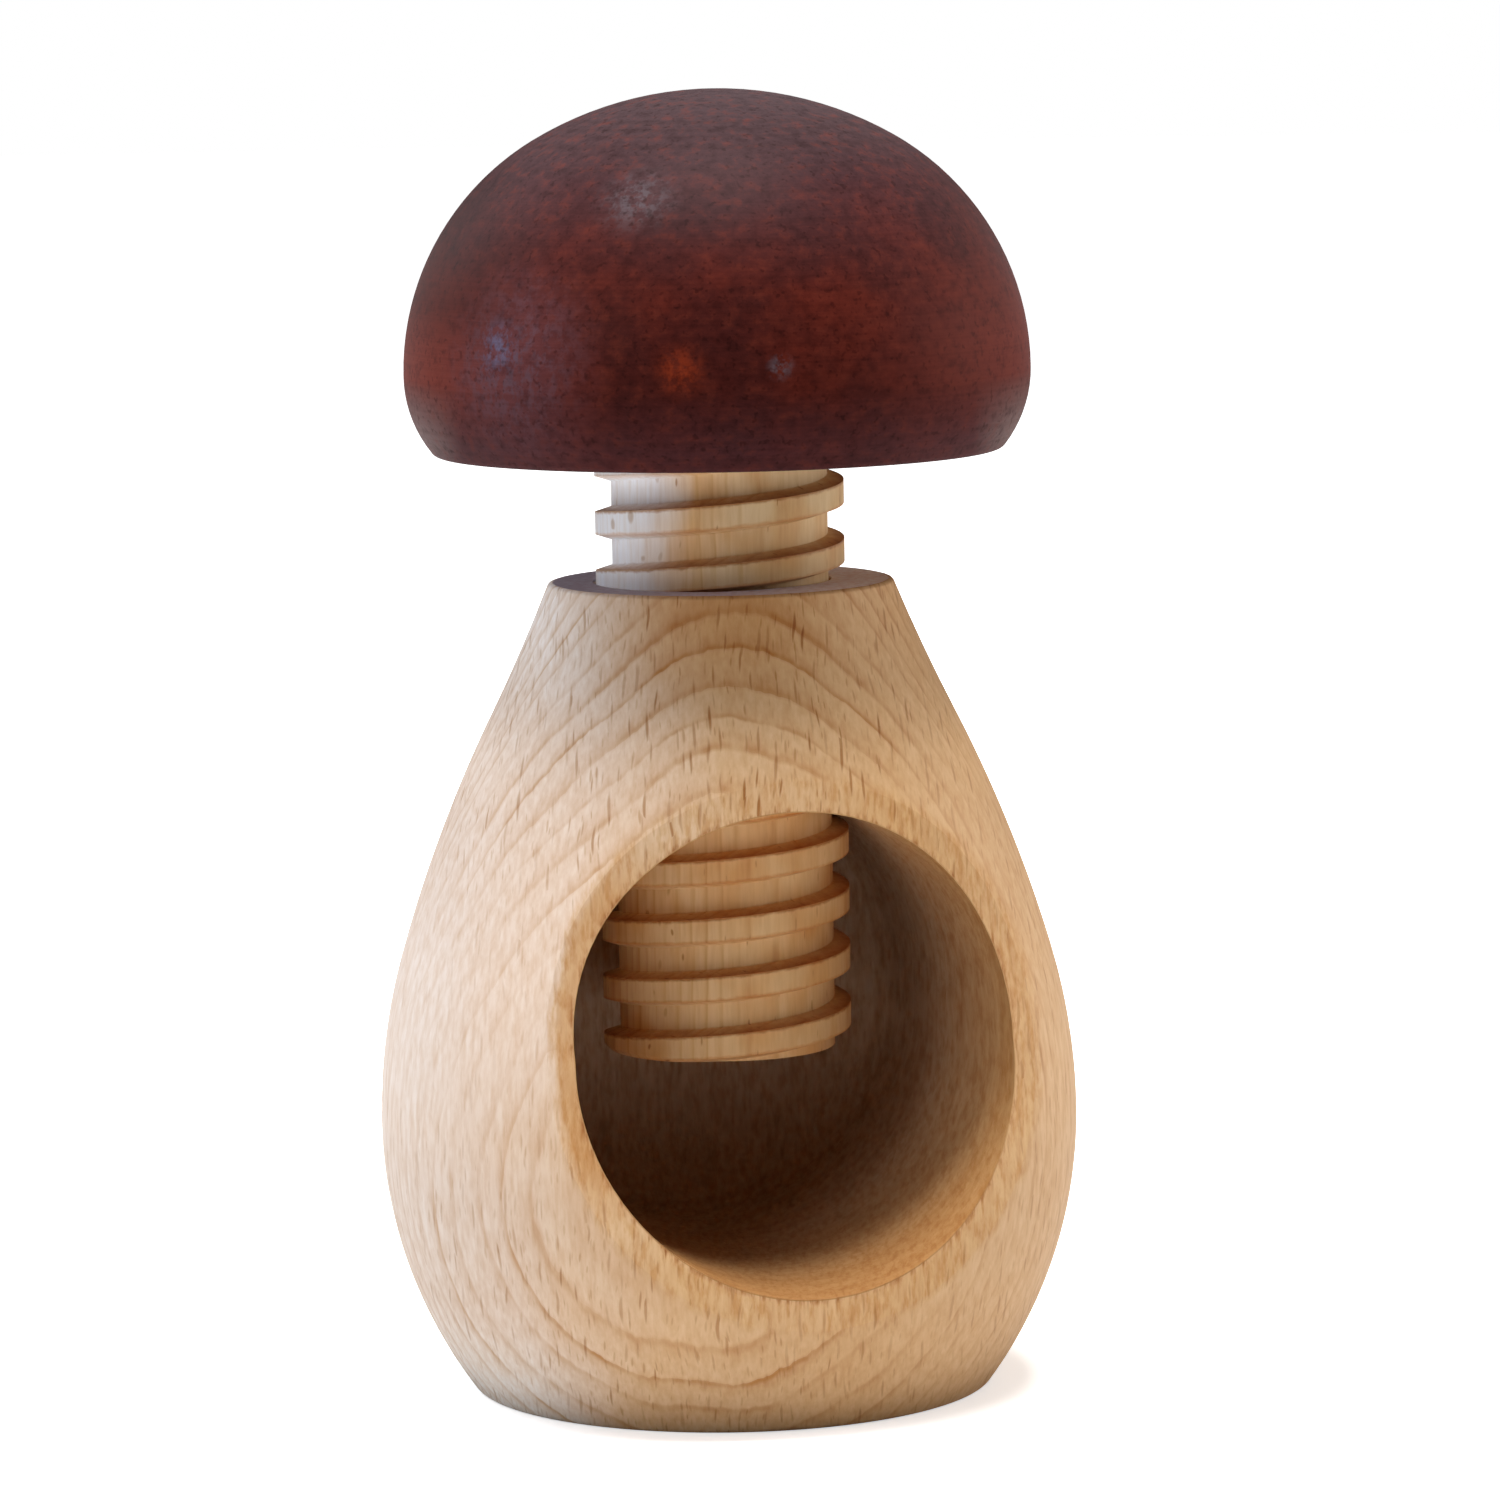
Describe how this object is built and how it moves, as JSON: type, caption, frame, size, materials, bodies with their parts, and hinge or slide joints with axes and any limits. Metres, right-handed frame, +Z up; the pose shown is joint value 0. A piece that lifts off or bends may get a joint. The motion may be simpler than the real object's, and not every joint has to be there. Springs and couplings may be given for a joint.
{
  "type": "screw nutcracker",
  "caption": "Mushroom-shaped turned wooden screw nutcracker: a bulbous stem with a round side cavity and threaded neck, and a domed cap that turns a wooden screw onto the nut.",
  "frame": {"origin": "centre of the flat base", "axes": "+Z up along the screw; the cavity opens towards -Y"},
  "size_m": [0.072, 0.0689, 0.1338],
  "materials": {
    "bare_beech": "turned and sanded, bare",
    "screw_beech": "machine-cut thread, bare",
    "stained_beech": "dark red-brown stain under satin lacquer",
    "dowel_beech": "fluted, bare"
  },
  "bodies": {
    "stem": {"stem_body": "bare_beech"},
    "screw_core": {"cap_dowel": "dowel_beech"},
    "screw_and_cap": {"screw_spindle": "screw_beech", "cap": "stained_beech"}
  },
  "joints": [
    {"name": "screw_travel", "type": "slide", "parent": "stem", "child": "screw_core", "axis": [0, 0, 1], "range_m": [-0.013, 0.0423]},
    {"name": "screw_turn", "type": "hinge", "parent": "screw_core", "child": "screw_and_cap", "pos_m": [0, 0, 0.0968], "axis": [0, 0, 1], "range_deg": [-780, 2538]}
  ],
  "couplings": [
    {"joint": "screw_travel", "follows": "screw_turn", "m_per_rad": 0.00095493}
  ]
}
